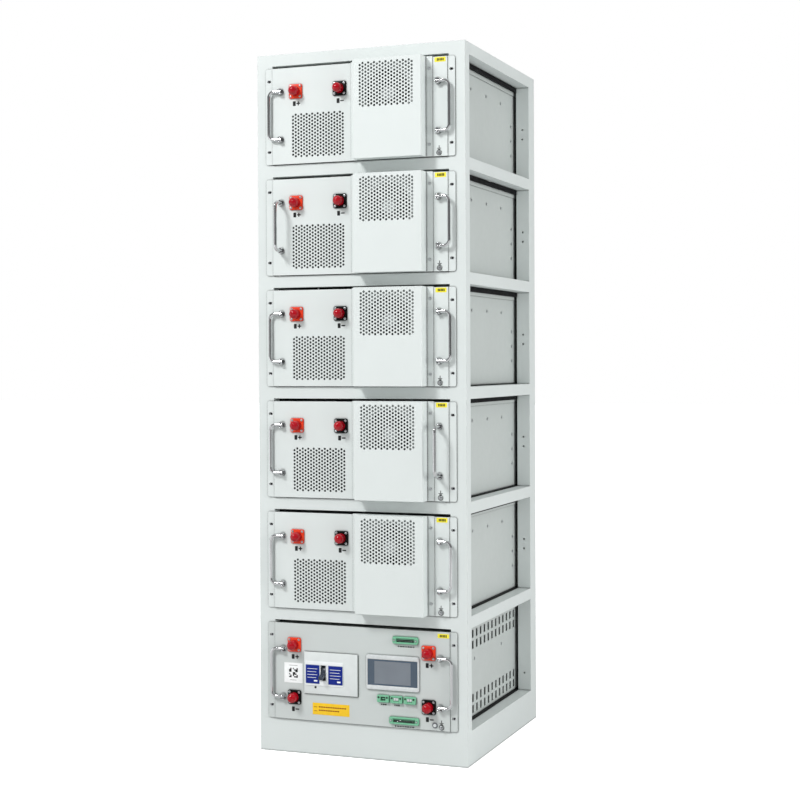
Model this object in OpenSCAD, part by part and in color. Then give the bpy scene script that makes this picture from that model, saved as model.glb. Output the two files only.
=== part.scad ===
// Rack battery pack: five slide-in battery modules above one control unit in a welded open frame.
// Millimetres. +Z is up, the front faces -Y, +X is to the right seen from the front.
// The origin is the centre of the footprint, on the floor.

/* [Frame] */
// Width of the welded frame
frame_w = 530; // [526:1:540]
// Depth of the welded frame
frame_d = 565; // [565:1:620]
// Height of the plinth
plinth_h = 80; // [60:1:120]
// Height from one bay floor to the next, six rack units
bay_pitch = 266.7; // [266:0.1:272]
// Height of the beams between the bays
beam_h = 28; // [26:1:30]
// Height of the top rails, with the top sheet
top_h = 28; // [20:1:40]
// Width of a front post, seen from the front
front_post_w = 40; // [38:1:42]
// Depth of a front post
front_post_d = 30; // [26:1:34]
// Width of a rear post, seen from the front
rear_post_w = 34; // [30:1:36]
// Depth of a rear post
rear_post_d = 50; // [40:1:60]
// Depth of a rear beam
rear_beam_d = 25; // [20:1:26]
// Wall of every tube in the frame, and the top sheet
tube_wall = 2; // [1.5:0.5:3]

/* [Slide rails] */
// Width of the shelf that a chassis rests on
rail_shelf = 38; // [25:1:50]
// Height of the leg bolted to the side beam
rail_leg = 26; // [22:1:27]
// Thickness of the rail
rail_t = 2; // [1.5:0.5:2]
// Width of the end stop behind each side of a chassis
stop_w = 26; // [20:1:36]

/* [Chassis] */
// Width of each chassis
case_w = 442; // [430:1:444]
// Depth of each chassis behind the face of the frame
case_d = 538; // [530:1:539]
// Height of each chassis
case_h = 226.5; // [222:0.5:228]
// Sheet thickness of the chassis
sheet = 1.5; // [1:0.5:2]
// Height of the folded sides of the lid
lid_fold = 10.5; // [8:0.5:14]
// Running gap between a chassis and its rails
rail_gap = 0.3; // [0.2:0.1:1]

/* [Front panels] */
// Height of a front panel
panel_h = 230.5; // [230:0.5:236]
// Width of the raised centre plate
plate_w = 446; // [440:1:448]
// Thickness of the centre plate
plate_t = 2; // [1.5:0.5:2.5]
// Thickness of the rack ears
ear_t = 2.5; // [2:0.5:3]
// Heights of the ear slots above the bay floor
ear_slot_z = [32, 202];

/* [Ventilation] */
// Diameter of one perforation
vent_hole = 5.5; // [4:0.5:5.5]
// Columns of perforations
vent_cols = 19; // [9:2:19]
// Holes in the shorter columns
vent_rows = 12; // [8:1:12]
// Spacing of the columns
vent_dx = 7.2; // [7:0.1:7.4]
// Spacing of the holes in a column
vent_dz = 8.3; // [8:0.1:8.5]
// Depth of the fan cover
cover_d = 34; // [30:1:45]
// Width of the fan cover
cover_w = 171.5; // [168:0.5:174]

/* [Handles] */
// Distance from the hinge pin to the grip
handle_reach = 29; // [27:1:34]
// Spacing of the two hinge posts
handle_span = 115; // [100:1:120]
// Diameter of the handle rod
handle_rod = 8; // [7:0.5:8]
// Outward angle of each left handle as it stands, from the bottom bay up
left_rest = [90, 90, 90, 90, 0, 90];
// Outward angle of each right handle as it stands, from the bottom bay up
right_rest = [90, 86, 0, 90, 82, 90];

/* [Power connectors] */
// Side of the square connector flange
flange_w = 34; // [32:1:36]
// Diameter of the dust cap
cap_d = 23; // [22:0.5:26]
// Height of the dust cap above the plate
cap_h = 28; // [24:1:30]

/* [Cells] */
// Width of one prismatic cell
cell_w = 174; // [150:1:176]
// Thickness of one prismatic cell
cell_t = 71.4; // [60:0.1:71.5]
// Height of one prismatic cell
cell_h = 204; // [180:1:206]
// Cells in each of the two rows
cells_per_row = 6; // [4:1:6]

/* [Breaker] */
// Travel of the breaker toggle
toggle_travel = 30; // [20:1:30]

/* [Hidden] */
$fn = 48;
// Clearance that keeps pieces of one group separate
gap = 0.1;
// Small overlap that makes a cut run clean through
cut = 1;

bays = 6;
top_z = plinth_h + bays * bay_pitch - beam_h;
frame_h = top_z + top_h;
function bay_floor(i) = plinth_h + i * bay_pitch;

post_x = frame_w / 2;
front_open = frame_w / 2 - front_post_w;
rear_open = frame_w / 2 - rear_post_w;
rear_post_y = frame_d - rear_post_d;
rear_beam_y = frame_d - rear_beam_d;

// Rivet nuts of the frame
nut_r = 4.4;
nut_bulge_r = 5.3;
nut_bore_r = 2.6;
nut_len = 12;
rail_bolt_y = [80, 275, 470];
rail_bolt_z = -15;
rail_start = front_post_d + 2;
rail_end = rear_beam_y - 0.2;
stop_face = case_d + rail_gap;
stop_top = bay_pitch - beam_h - 0.5;
web_start = rear_post_y + 10;
guide_h = 12;
rear_hole_r = 2.5;
rear_hole_z = [104, 128.5];
rear_hole_z_control = [45.5];

// Chassis faces
case_x = case_w / 2;
case_front = -ear_t;
case_z = rail_t + rail_gap;
case_top = case_z + case_h;
flange_x = 194;
lip_x = case_x - sheet - gap;
lid_x = case_x + gap + sheet;
lid_start = 0.5;

// Fixed by the 19-inch rack standard: width over the ears and spacing of the ear slots
panel_w = 482.6;
ear_pitch = 465.1;

// Panel faces, measured from the face of the frame and from the bay floor
plate_front = -ear_t - plate_t;
panel_z = 1.5;
panel_mid = panel_z + panel_h / 2;
ear_corner = 5;

// Screws
screw_r = 1.45;
screw_hole = 1.7;
screw_head = 3;
side_screw_r = 1.9;
side_hole_r = 2.1;
side_head_r = 3.2;
side_head_h = 1.4;
lid_screw_y = [52, 171.3, 290.6, 410];
lid_screw_z = 183;
end_screw_y = 498;
end_screw_z = [60, 98, 136];
control_side_screw_y = [183, 400];
control_side_screw_z = 139.5;
lid_lip = 50;
control_lip = 12;

// Battery panel layout
plus_x = -161.5;
minus_x = -47.3;
power_z = 174.5;
grid_x = -104.5;
grid_z = 69;
cover_x = 84.7;
cover_z0 = 1.8;
cover_h = 232;
cover_grid_x = 83.1;
cover_grid_z = 173.5;
cover_flange = 16.5;
cover_fold = 2.2;
cover_screw_x = cover_w / 2 + 8.3;
cover_screw_z = [30, 206];
fan_x = 75;
fan_z = 157;
fan_size = 120;
fan_duct_r = 56;
fan_depth = 25;
fan_y = case_front + 0.1;
fan_hub_r = 19;
fan_blade_r = 54.5;
fan_shaft_r = 2;
fan_screw = 52.5;
blades = 7;
earth_x = 202.4;
earth_z = 10;

// Power sockets and their caps
barrel_r = cap_d / 2 - 1.5;
barrel_l = 8;
cap_bore = barrel_r + 0.1;

// Hinge posts of the handles
handle_x = 200.5;
handle_z = 118;
control_handle_z = 113;
pivot_y = plate_front - 7;
post_r = 7.2;
post_len = 12;
post_chamfer = 1.6;
post_slot = handle_rod + 0.6;
pin_r = 1.5;
pin_bore = 1.55;
pin_half = 6;
rod_tail = 3.2;
rod_bend = 13;
stud_r = 2.9;
stud_hole = 3.1;

// Control panel layout, from the bay floor
power_cx = 171.5;
power_cz = [55, 181];
breaker_x0 = -145;
breaker_x1 = -7;
breaker_z0 = 67;
breaker_z1 = 166.5;
breaker_proud = 4;
breaker_depth = 82;
toggle_x = -94.6;
toggle_z = 118;
toggle_w = 12.4;
toggle_r = 18.5;
toggle_reach = 39;
toggle_pin_r = 2;
toggle_y = plate_front - breaker_proud + 19;
toggle_slot_w = 13.8;
toggle_slot_h = 36.4;
screen_x0 = 15.5;
screen_x1 = 148;
screen_z0 = 88;
screen_z1 = 169.7;
screen_proud = 5;
screen_depth = 32;
wide_term_x = [83, 74];
wide_term_z = [199.3, 10.5];
wide_term_pins = [12, 14];
term_pitch = 5.2;
small_term_x = [43.7, 77, 110.6];
small_term_z = 59;
small_term_pins = 5;
term_h = 16.4;
term_proud = 9;
term_depth = 14;
button_x = 186.2;
button_z = 14;
button_r = 4;
button_travel = 1.5;

// Side vents of the control unit
side_vent_w = 13;
side_vent_h = 19.3;
side_vent_y0 = 49;
side_vent_pitch = 30.5;
side_vent_cols = 16;
side_vent_z = [18.8, 45.3, 174.2, 200.7];

// Colours
frame_grey = [0.83, 0.85, 0.84];
panel_grey = [0.86, 0.88, 0.87];
cover_white = [0.90, 0.92, 0.91];
chrome = [0.78, 0.79, 0.80];
zinc = [0.70, 0.71, 0.72];
flange_orange = [0.93, 0.26, 0.12];
cell_blue = [0.16, 0.36, 0.62];
breaker_white = [0.93, 0.94, 0.95];
screen_white = [0.88, 0.90, 0.91];
terminal_green = [0.18, 0.62, 0.38];
rotor_black = [0.10, 0.10, 0.11];
rail_black = [0.07, 0.07, 0.08];

// ---------- shapes used by several pieces ----------

module block(x0, x1, y0, y1, z0, z1)
    translate([x0, y0, z0])
        cube([x1 - x0, y1 - y0, z1 - z0]);

// Cylinder along Y, from y0 to y1
module rod_y(r, y0, y1)
    translate([0, y0, 0])
        rotate([-90, 0, 0])
            cylinder(r = r, h = y1 - y0);

// Cylinder along X, from x0 to x1
module rod_x(r, x0, x1)
    translate([x0, 0, 0])
        rotate([0, 90, 0])
            cylinder(r = r, h = x1 - x0);

// Upright plate in the XZ plane, from y0 to y1, drawn from a 2D outline in X and Z
module upright(y0, y1)
    translate([0, y1, 0])
        rotate([90, 0, 0])
            linear_extrude(height = y1 - y0)
                children();

// Corner points of a rounded rectangle centred on the origin
function rounded(w, h, r, n = 6) = [
    for (q = [0 : 3], i = [0 : n])
        let (a = 90 * q + 90 * i / n,
             cx = (q == 0 || q == 3) ? w / 2 - r : r - w / 2,
             cy = (q < 2) ? h / 2 - r : r - h / 2)
        [cx + r * cos(a), cy + r * sin(a)]
];

module both_sides()
    for (s = [-1, 1])
        mirror_x(s) children();

// Mirrored to the other side when s is -1
module mirror_x(s)
    mirror([s < 0 ? 1 : 0, 0, 0])
        children();

// Place a piece of bay i, counted from the bottom
module in_bay(i)
    translate([0, -frame_d / 2, bay_floor(i)])
        children();

// Staggered perforation, as 2D circles
module perforation()
    for (c = [0 : vent_cols - 1])
        for (r = [0 : vent_rows - 1 + c % 2])
            translate([(c - (vent_cols - 1) / 2) * vent_dx,
                       (r - (vent_rows - 1 + c % 2) / 2) * vent_dz])
                circle(d = vent_hole);

// Button-head screw along Y: head in front of y0, shank behind it, hexagon socket in the head
module front_screw(x, z, y0, head_r, shank_r, length)
    translate([x, y0, z])
        difference() {
            rotate([90, 0, 0])
                rotate_extrude()
                    polygon([[0, -length], [shank_r, -length], [shank_r, 0], [head_r, 0],
                             [head_r * 0.95, head_r * 0.35], [head_r * 0.7, head_r * 0.6],
                             [head_r * 0.35, head_r * 0.7], [0, head_r * 0.72]]);
            rotate([90, 0, 0])
                translate([0, 0, head_r * 0.25])
                    cylinder(r = head_r * 0.45, h = head_r, $fn = 6);
        }

// Low screw head on the right side face of a chassis, shank pointing inwards
module side_screw(y, z, length)
    translate([case_x, y, z]) {
        rod_x(side_head_r, 0, side_head_h);
        rod_x(side_screw_r, -length, 0);
    }

// ---------- frame ----------

// One level of four beams between the posts, or with a wall given, the cavities inside them.
// z0 is its underside and h its height.
module ring(z0, h, wall) {
    block(-front_open, front_open, wall, front_post_d - wall, z0 + wall, z0 + h - wall);
    block(-rear_open, rear_open, rear_beam_y + wall, frame_d - wall, z0 + wall, z0 + h - wall);
    both_sides()
        block(rear_open + wall, post_x - wall, front_post_d, rear_post_y, z0 + wall, z0 + h - wall);
}

module levels(wall) {
    ring(0, plinth_h, wall);
    for (i = [1 : bays - 1])
        ring(bay_floor(i) - beam_h, beam_h, wall);
    ring(top_z, top_h - tube_wall, wall);
}

// The four posts, or with a wall given, the cavities inside them
module posts(wall, z0)
    both_sides() {
        block(front_open + wall, post_x - wall, wall, front_post_d - wall, z0, frame_h - tube_wall);
        block(rear_open + wall, post_x - wall, rear_post_y + wall, frame_d - wall,
              z0, frame_h - tube_wall);
    }

module rack_frame()
    color(frame_grey)
        translate([0, -frame_d / 2, 0])
            difference() {
                union() {
                    posts(0, 0);
                    levels(0);
                    block(-post_x, post_x, 0, frame_d, frame_h - tube_wall, frame_h);
                }
                posts(tube_wall, -cut);
                levels(tube_wall);
                frame_holes();
            }

module frame_holes()
    for (i = [0 : bays - 1])
        translate([0, 0, bay_floor(i)])
            both_sides() {
                for (z = ear_slot_z)
                    translate([ear_pitch / 2, 0, z])
                        rod_y(nut_r + gap, -cut, tube_wall + cut);
                for (z = i == 0 ? rear_hole_z_control : rear_hole_z)
                    translate([post_x - rear_post_w / 2, 0, z])
                        rod_y(rear_hole_r, rear_post_y - cut, rear_post_y + tube_wall + cut);
                for (y = rail_bolt_y)
                    translate([0, y, rail_bolt_z])
                        rod_x(nut_r + gap, rear_open - cut, rear_open + tube_wall + cut);
            }

module slide_rails()
    color(rail_black)
        for (i = [0 : bays - 1])
            in_bay(i) {
                both_sides()
                    slide_rail();
                stop_bar();
            }

// Cross bar at the back of a bay, above the chassis, joining the two stop angles
module stop_bar()
    block(-rear_open + stop_w - cut, rear_open - stop_w + cut, stop_face, rail_end,
          case_top - 4, stop_top);

// Shelf with its bolted leg, the angle at its rear end that stops the chassis, and the bar along
// the upper edge of the chassis that keeps it from tipping when it is pulled out
module slide_rail()
    difference() {
        union() {
            translate([0, rail_end, 0])
                rotate([90, 0, 0])
                    linear_extrude(height = rail_end - rail_start)
                        polygon([[rear_open - rail_shelf, rail_t], [rear_open, rail_t],
                                 [rear_open, -rail_leg], [rear_open - rail_t, -rail_leg],
                                 [rear_open - rail_t, 0], [rear_open - rail_shelf, 0]]);
            linear_extrude(height = stop_top)
                polygon([[rear_open - stop_w, rail_end], [rear_open, rail_end],
                         [rear_open, web_start], [rear_open - rail_t, web_start],
                         [rear_open - rail_t, stop_face], [rear_open - stop_w, stop_face]]);
            block(rear_open - rail_t, rear_open, rail_start, rail_end, stop_top - guide_h, stop_top);
        }
        for (y = rail_bolt_y)
            translate([0, y, rail_bolt_z])
                rod_x(3.2, rear_open - rail_t - cut, rear_open + cut);
    }

// Blind rivet nut along +Z, its face at z = 0
module rivet_nut()
    rotate_extrude()
        polygon([[nut_bore_r, 0.05], [nut_r, 0.05], [nut_r, tube_wall + gap],
                 [nut_bulge_r, tube_wall + 1], [nut_bulge_r, tube_wall + 2.5],
                 [nut_r, tube_wall + 4], [nut_r, nut_len], [nut_bore_r, nut_len]]);

// Rail bolt along +Z, the underside of its head at z = 0
module rail_bolt()
    rotate_extrude()
        polygon([[0, -2.8], [3.2, -2.6], [4.6, -1.6], [5.2, 0], [nut_bore_r - gap, 0],
                 [nut_bore_r - gap, 14], [0, 14]]);

module frame_fasteners()
    color(zinc)
        for (i = [0 : bays - 1])
            in_bay(i)
                both_sides() {
                    for (z = ear_slot_z)
                        translate([ear_pitch / 2, 0, z])
                            rotate([-90, 0, 0])
                                rivet_nut();
                    for (y = rail_bolt_y)
                        translate([rear_open, y, rail_bolt_z])
                            rotate([0, 90, 0]) {
                                rivet_nut();
                                translate([0, 0, -rail_t])
                                    rail_bolt();
                            }
                }

// ---------- chassis of a module or of the control unit ----------

// Folded tray with front flanges
module tray()
    difference() {
        block(-case_x, case_x, case_front, case_d, case_z, case_top - sheet);
        block(-case_x + sheet, case_x - sheet, case_front + sheet, case_d - sheet,
              case_z + sheet, case_top);
        block(-flange_x, flange_x, case_front - cut, case_front + sheet + cut,
              case_z + sheet, case_top);
    }

// Lid with its sides folded down over the tray, and lips inside it
module lid(lip)
    union() {
        block(-case_x, case_x, case_front, case_d, case_top - sheet + gap, case_top);
        both_sides() {
            block(lip_x - sheet, lid_x, lid_start, case_d, case_top - sheet + gap, case_top);
            block(case_x + gap, lid_x, lid_start, case_d, case_top - lid_fold, case_top);
            block(lip_x - sheet, lip_x, 5, case_d - 8, case_top - sheet - lip,
                  case_top - sheet + 2 * gap);
        }
    }

module stud_holes(zc)
    both_sides()
        for (s = [-1, 1])
            translate([handle_x, 0, zc + s * handle_span / 2])
                rod_y(stud_hole, case_front - cut, case_front + sheet + cut);

module earth_hole(x, z)
    translate([x, 0, z])
        rod_y(2.2, case_front - cut, case_front + sheet + cut);

module battery_case()
    color(panel_grey) {
        difference() {
            union() {
                tray();
                lid(lid_lip);
            }
            both_sides() {
                for (y = lid_screw_y)
                    translate([0, y, lid_screw_z])
                        rod_x(side_hole_r, lip_x - sheet - cut, case_x + cut);
                for (z = end_screw_z)
                    translate([0, end_screw_y, z])
                        rod_x(side_hole_r, case_x - sheet - cut, case_x + cut);
            }
            stud_holes(handle_z);
            earth_hole(earth_x, earth_z);
        }
    }

module control_case()
    color(panel_grey)
        difference() {
            union() {
                tray();
                lid(control_lip);
            }
            for (c = [0 : side_vent_cols - 1], z = side_vent_z)
                translate([0, side_vent_y0 + c * side_vent_pitch, z])
                    cube([case_w + 2 * cut, side_vent_w, side_vent_h], center = true);
            both_sides()
                for (y = control_side_screw_y)
                    translate([0, y, control_side_screw_z])
                        rod_x(side_hole_r, case_x - sheet - cut, case_x + cut);
            stud_holes(control_handle_z);
            earth_hole(earth_x, earth_z);
        }

// ---------- front panels ----------

// Centre plate and ears, with the openings given as 2D children in X and Z
module rack_panel(zc) {
    upright(plate_front, case_front)
        difference() {
            translate([0, panel_mid])
                square([plate_w, panel_h], center = true);
            children();
            for (sx = [-1, 1], sz = [-1, 1])
                translate([sx * handle_x, zc + sz * handle_span / 2])
                    circle(r = stud_hole);
        }
    both_sides()
        upright(case_front, 0)
            difference() {
                intersection() {
                    translate([0, panel_mid])
                        polygon(rounded(panel_w, panel_h, ear_corner));
                    translate([case_x, 0])
                        square([panel_w, 2 * panel_h]);
                }
                for (z = ear_slot_z)
                    translate([ear_pitch / 2, z])
                        polygon(rounded(10, 6.5, 3.24));
            }
}

module flange_openings(x, z)
    translate([x, z]) {
        circle(r = 12);
        for (sx = [-1, 1], sz = [-1, 1])
            translate([sx * flange_w * 0.36, sz * flange_w * 0.36])
                circle(r = screw_hole);
    }

module battery_front_panel()
    color(panel_grey)
        rack_panel(handle_z) {
            flange_openings(plus_x, power_z);
            flange_openings(minus_x, power_z);
            translate([grid_x, grid_z])
                perforation();
            translate([fan_x, fan_z]) {
                circle(r = fan_duct_r);
                for (sx = [-1, 1], sz = [-1, 1])
                    translate([sx * fan_screw, sz * fan_screw])
                        circle(r = 2.2);
            }
            for (sx = [-1, 1], z = cover_screw_z)
                translate([cover_x + sx * cover_screw_x, z])
                    circle(r = screw_hole);
            translate([earth_x, earth_z])
                circle(r = 2.2);
        }

module control_front_panel()
    color(panel_grey)
        rack_panel(control_handle_z) {
            for (sx = [-1, 1], z = power_cz)
                flange_openings(sx * power_cx, z);
            translate([breaker_x0 + 4, breaker_z0 + 4])
                square([breaker_x1 - breaker_x0 - 8, breaker_z1 - breaker_z0 - 8]);
            translate([screen_x0 + 5, screen_z0 + 5])
                square([screen_x1 - screen_x0 - 10, screen_z1 - screen_z0 - 10]);
            for (k = [0, 1])
                translate([wide_term_x[k] - 0.2, wide_term_z[k] - 0.2])
                    square([wide_term_pins[k] * term_pitch + 0.4, term_h + 0.4]);
            for (x = small_term_x)
                translate([x - 0.2, small_term_z - 0.2])
                    square([small_term_pins * term_pitch + 3.4, term_h + 0.4]);
            translate([button_x, button_z])
                circle(r = 5.2);
            translate([earth_x, earth_z])
                circle(r = 2.2);
        }

// ---------- fan cover ----------

// Outline of the folded cover from above, from its outer face inwards by t
function cover_arc(cx, cy, r, a0, n = 4) = [for (i = [0 : n]) [cx + r * cos(a0 + 90 * i / n),
                                                               cy + r * sin(a0 + 90 * i / n)]];
function cover_outline(t) = let (x = cover_w / 2 - t, y0 = -cover_d + t, r = cover_fold - t)
    concat([[-x, 0]], cover_arc(r - x, y0 + r, r, 180), cover_arc(x - r, y0 + r, r, 270), [[x, 0]]);

module fan_cover()
    color(cover_white)
        translate([cover_x, plate_front, cover_z0])
            difference() {
                union() {
                    linear_extrude(height = cover_h)
                        difference() {
                            polygon(cover_outline(0));
                            polygon([for (p = cover_outline(sheet)) p[1] == 0 ? [p[0], cut] : p]);
                        }
                    for (z = [0, cover_h - sheet])
                        translate([0, 0, z])
                            linear_extrude(height = sheet)
                                polygon(cover_outline(0));
                    both_sides()
                        block(cover_w / 2 - sheet, cover_w / 2 + cover_flange, -sheet, 0, 0, cover_h);
                }
                translate([cover_grid_x - cover_x, 0, cover_grid_z - cover_z0])
                    upright(-cover_d - cut, -cover_d + sheet + cut)
                        perforation();
                for (sx = [-1, 1], z = cover_screw_z)
                    translate([sx * cover_screw_x, 0, z - cover_z0])
                        rod_y(screw_hole, -sheet - cut, cut);
            }

// ---------- power connectors ----------

// Socket with its square flange, tail behind the panel
module socket()
    difference() {
        union() {
            upright(plate_front - 3, plate_front)
                polygon(rounded(flange_w, flange_w, 4));
            rod_y(barrel_r, plate_front - 3 - barrel_l, plate_front - 3);
            rod_y(11.5, plate_front, 14);
            block(-8, 8, 14, 34, -2, 2);
        }
        for (sx = [-1, 1], sz = [-1, 1])
            translate([sx * flange_w * 0.36, 0, sz * flange_w * 0.36])
                rod_y(screw_hole, plate_front - 3 - cut, plate_front + cut);
        rod_y(8, plate_front - 3 - barrel_l - cut, plate_front - 2);
        translate([0, 26, -2 - cut])
            cylinder(r = 4.2, h = 4 + 2 * cut);
    }

// Domed dust cap over the socket
module dust_cap() {
    r = cap_d / 2;
    base = 3.2;
    top = 3 + barrel_l + 1;
    shoulder = cap_h - r * 0.95;
    translate([0, plate_front, 0])
        rotate([90, 0, 0])
            rotate_extrude()
                polygon(concat([[0, top], [cap_bore, top], [cap_bore, base], [r, base]],
                               [for (i = [0 : 8]) [r * cos(11.25 * i),
                                                   shoulder + (cap_h - shoulder) * sin(11.25 * i)]]));
}

module power_connector(x, z, flange_colour)
    translate([x, 0, z]) {
        color(flange_colour)
            socket();
        color("crimson")
            dust_cap();
    }

module battery_connectors() {
    power_connector(plus_x, power_z, flange_orange);
    power_connector(minus_x, power_z, "black");
}

module control_connectors()
    for (sx = [-1, 1]) {
        power_connector(sx * power_cx, power_cz[1], flange_orange);
        power_connector(sx * power_cx, power_cz[0], "black");
    }

// ---------- handles ----------

// Slotted hinge post with its upright pin and its stud
module hinge_post() {
    difference() {
        translate([0, plate_front, 0])
            rotate([90, 0, 0])
                rotate_extrude()
                    polygon([[0, 0], [post_r, 0], [post_r, post_len - post_chamfer],
                             [post_r - post_chamfer, post_len], [0, post_len]]);
        block(-post_r - cut, post_r + cut, plate_front - post_len - cut,
              pivot_y + norm([rod_tail, handle_rod / 2]) + 0.4, -post_slot / 2, post_slot / 2);
    }
    translate([0, pivot_y, -pin_half])
        cylinder(r = pin_r, h = 2 * pin_half);
    rod_y(stud_r, plate_front - cut, 6);
}

module stud_nut()
    difference() {
        translate([0, case_front + sheet, 0])
            rotate([-90, 0, 0])
                cylinder(r = 5, h = 4, $fn = 6);
        rod_y(stud_hole, case_front, 6);
    }

module hinge_posts(zc)
    both_sides()
        for (s = [-1, 1])
            translate([handle_x, 0, zc + s * handle_span / 2]) {
                hinge_post();
                stud_nut();
            }

// One leg of a handle along -Y, bored for the hinge pin
module handle_leg()
    difference() {
        rod_y(handle_rod / 2, rod_bend - handle_reach, rod_tail);
        translate([0, 0, -handle_rod])
            cylinder(r = pin_bore, h = 2 * handle_rod);
    }

// U-shaped handle with its hinge axis at x = handle_x, swung outwards by the angle given
module handle(side, zc, angle)
    color(chrome)
        mirror_x(side)
            translate([handle_x, pivot_y, zc])
                rotate([0, 0, angle]) {
                    for (s = [-1, 1])
                        translate([0, 0, s * handle_span / 2])
                            handle_leg();
                    for (s = [0, 1])
                        mirror([0, 0, s])
                            translate([0, rod_bend - handle_reach, handle_span / 2 - rod_bend])
                                rotate([0, -90, 0])
                                    rotate([0, 0, 270])
                                        rotate_extrude(angle = 90)
                                            translate([rod_bend, 0])
                                                circle(d = handle_rod);
                    translate([0, -handle_reach, rod_bend - handle_span / 2])
                        cylinder(d = handle_rod, h = handle_span - 2 * rod_bend);
                }

// ---------- fasteners of a module ----------

module flange_screws(x, z)
    for (sx = [-1, 1], sz = [-1, 1])
        front_screw(x + sx * flange_w * 0.36, z + sz * flange_w * 0.36, plate_front - 3,
                    screw_head, screw_r, 9);

// Earth stud with its nut
module earth_stud(x, z)
    translate([x, 0, z]) {
        rod_y(2, plate_front - 9, 6);
        translate([0, plate_front, 0])
            rotate([90, 0, 0])
                cylinder(r = 4, h = 3.2, $fn = 6);
    }

module battery_fasteners()
    color(zinc) {
        hinge_posts(handle_z);
        flange_screws(plus_x, power_z);
        flange_screws(minus_x, power_z);
        for (sx = [-1, 1], z = cover_screw_z)
            front_screw(cover_x + sx * cover_screw_x, z, plate_front - sheet, screw_head, screw_r, 9);
        for (sx = [-1, 1], sz = [-1, 1])
            front_screw(fan_x + sx * fan_screw, fan_z + sz * fan_screw, plate_front, 3.6, 1.9, 20);
        earth_stud(earth_x, earth_z);
        both_sides() {
            for (y = lid_screw_y)
                side_screw(y, lid_screw_z, 8);
            for (z = end_screw_z)
                side_screw(end_screw_y, z, 9);
        }
    }

module control_fasteners()
    color(zinc) {
        hinge_posts(control_handle_z);
        for (sx = [-1, 1], z = power_cz)
            flange_screws(sx * power_cx, z);
        earth_stud(earth_x, earth_z);
        both_sides()
            for (y = control_side_screw_y)
                side_screw(y, control_side_screw_z, 9);
    }

// ---------- inside a battery module ----------

cell_y0 = 58;
cell_pitch = cell_t + 0.6;
cell_z0 = 5;
cell_x = cell_w / 2 + 1.5;
pole_x = cell_w / 2 - 22;
pole_r = 9;
pole_h = 4;
bar_t = 2;
stack_end = cell_y0 + cells_per_row * cell_pitch;
pole_top = cell_z0 + cell_h + pole_h;
end_plate_z = cell_z0 + cell_h - 4;

module cell(x, y)
    translate([x, y, cell_z0]) {
        translate([-cell_w / 2, 0, 0])
            cube([cell_w, cell_t, cell_h]);
        for (s = [-1, 1])
            translate([s * pole_x, cell_t / 2, cell_h])
                cylinder(r = pole_r, h = pole_h);
    }

// Copper link between two poles
module link(x, y0, y1)
    block(x - 10, x + 10, y0 - 10, y1 + 10, pole_top + gap, pole_top + gap + bar_t);

module cell_links()
    color("peru") {
        for (s = [-1, 1], i = [0 : cells_per_row - 2])
            link(s * cell_x + (i % 2 == 0 ? 1 : -1) * pole_x,
                 cell_y0 + cell_t / 2 + i * cell_pitch, cell_y0 + cell_t / 2 + (i + 1) * cell_pitch);
        translate([0, stack_end - cell_pitch / 2, 0])
            block(-cell_x + (cells_per_row % 2 == 0 ? 1 : -1) * pole_x + 12,
                  cell_x - pole_x - 12 + (cells_per_row % 2 == 0 ? 0 : 2 * pole_x),
                  -10, 10, pole_top + gap, pole_top + gap + bar_t);
    }

// Clamping plates at both ends of the cells; the rear one is screwed to the sides of the tray
module end_plates()
    color(rotor_black) {
        block(-200, 200, cell_y0 - 10, cell_y0 - 1, 8, end_plate_z);
        difference() {
            union() {
                block(-200, 200, end_screw_y - 6, end_screw_y + 6, 8, end_plate_z);
                block(gap + sheet - case_x, case_x - sheet - gap, end_screw_y - 6, end_screw_y + 6,
                      8, case_top - sheet - lid_lip - 2);
            }
            both_sides()
                for (z = end_screw_z)
                    translate([0, end_screw_y, z])
                        rod_x(side_screw_r + gap, case_x - 12, case_x);
        }
    }

module monitor_board()
    color("darkgreen") {
        block(-190, -20, 38, 39.6, 60, 150);
        for (k = [0 : 3])
            block(-180 + 40 * k, -156 + 40 * k, 34, 38, 110, 134);
        for (k = [0 : 5])
            block(-184 + 27 * k, -166 + 27 * k, 30, 38, 66, 76);
        for (x = [-180, -30], z = [66, 144])
            translate([x, 0, z])
                rod_y(3, 39.6, cell_y0 - 10);
    }

// Fixed frame of the fan: duct, hub, struts and shaft
module fan_frame()
    color(rotor_black)
        translate([fan_x, 0, fan_z]) {
            upright(fan_y, fan_y + fan_depth)
                difference() {
                    polygon(rounded(fan_size, fan_size, 5));
                    circle(r = fan_duct_r);
                    for (sx = [-1, 1], sz = [-1, 1])
                        translate([sx * fan_screw, sz * fan_screw])
                            circle(r = 2.1);
                }
            rod_y(fan_hub_r + 1, fan_y, fan_y + 4);
            for (a = [45, 135])
                rotate([0, a, 0])
                    for (s = [-1, 1])
                        mirror_x(s)
                            block(fan_hub_r, fan_duct_r + 1.5, fan_y, fan_y + 3, -1.8, 1.8);
            rod_y(fan_shaft_r, fan_y + 3, fan_y + 22);
        }

// Copper leads from the sockets back to the first cells
module power_leads()
    color("peru")
        for (x = [plus_x, minus_x]) {
            block(x - 9, x + 9, 18, 34, power_z + 2 + gap, power_z + 5);
            block(x - 9, x + 9, 31, 34, power_z + 2 + gap, pole_top + bar_t + gap);
            block(x - 9, x + 9, 31, cell_y0 + 26, pole_top + gap, pole_top + bar_t + gap);
        }

module battery_internals() {
    color(cell_blue)
        for (s = [-1, 1], i = [0 : cells_per_row - 1])
            cell(s * cell_x, cell_y0 + i * cell_pitch);
    cell_links();
    end_plates();
    color("ivory")
        block(-205, 205, cell_y0 - 10, end_screw_y + 6, case_z + sheet + gap, cell_z0 - gap);
    monitor_board();
    fan_frame();
    power_leads();
}

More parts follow.
